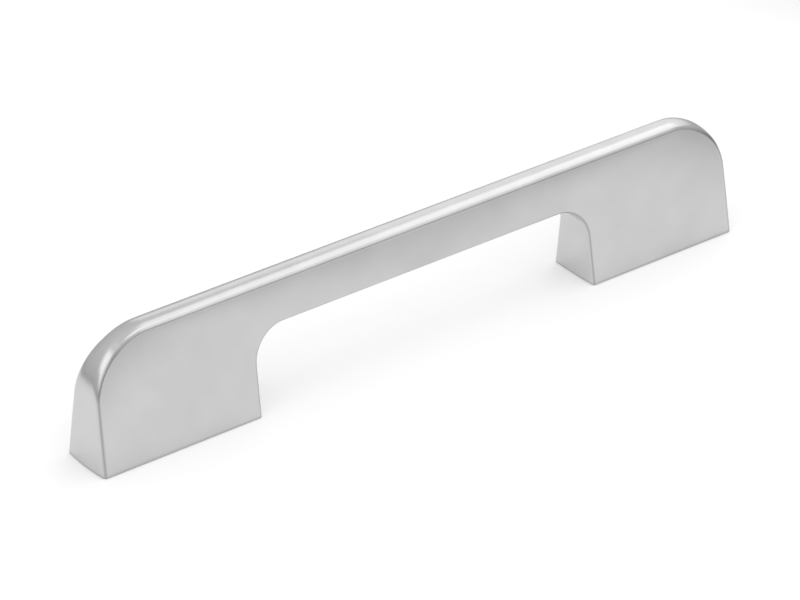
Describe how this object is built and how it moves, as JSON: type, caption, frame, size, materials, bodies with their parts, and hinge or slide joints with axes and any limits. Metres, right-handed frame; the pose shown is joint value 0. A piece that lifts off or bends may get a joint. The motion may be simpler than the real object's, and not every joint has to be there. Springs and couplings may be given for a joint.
{
  "type": "furniture handle",
  "caption": "Arch-shaped bow handle cast in one piece, with long wedge-shaped feet, a slim bar with a softly crowned rim, and blind screw holes under the feet.",
  "frame": {"origin": "on the mounting plane, midway between the screw holes, under the middle of the bar", "axes": "+X along the bar, +Y across it, +Z out from the furniture front"},
  "size_m": [0.168, 0.0136, 0.0294],
  "materials": {
    "satin_metal": "satin"
  },
  "bodies": {
    "root": {"handle": "satin_metal"}
  },
  "joints": []
}
